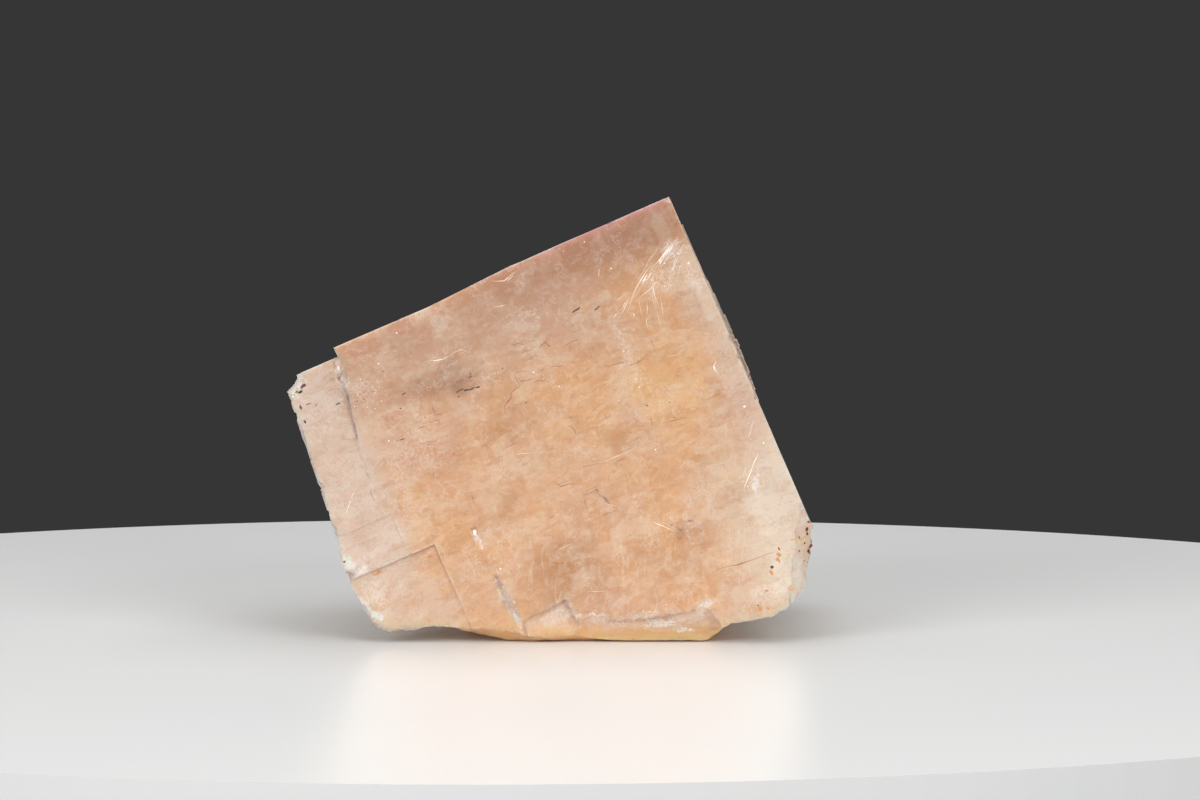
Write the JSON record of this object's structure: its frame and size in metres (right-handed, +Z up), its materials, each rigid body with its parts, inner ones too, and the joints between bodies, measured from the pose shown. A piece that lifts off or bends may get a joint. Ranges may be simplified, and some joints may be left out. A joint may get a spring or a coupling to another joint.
{
  "type": "fluorite crystal specimen",
  "caption": "Cloudy peach-pink fluorite cube leaning on its broken base, with stepped growth on its sides, chipped corners and rusty specks at one corner.",
  "frame": {"origin": "bottom centre of the crystal's bounding box, on the plane that it stands on", "axes": "+Z up, with -Y the side that the large front cube face looks to and +X to its right, where the raised top corner is"},
  "size_m": [0.0544, 0.0408, 0.0453],
  "materials": {
    "pink_fluorite": "cloudy translucent peach-pink crystal, bright smooth cube faces and a duller stepped break underneath"
  },
  "bodies": {
    "root": {"fluorite_crystal": "pink_fluorite"}
  },
  "joints": []
}
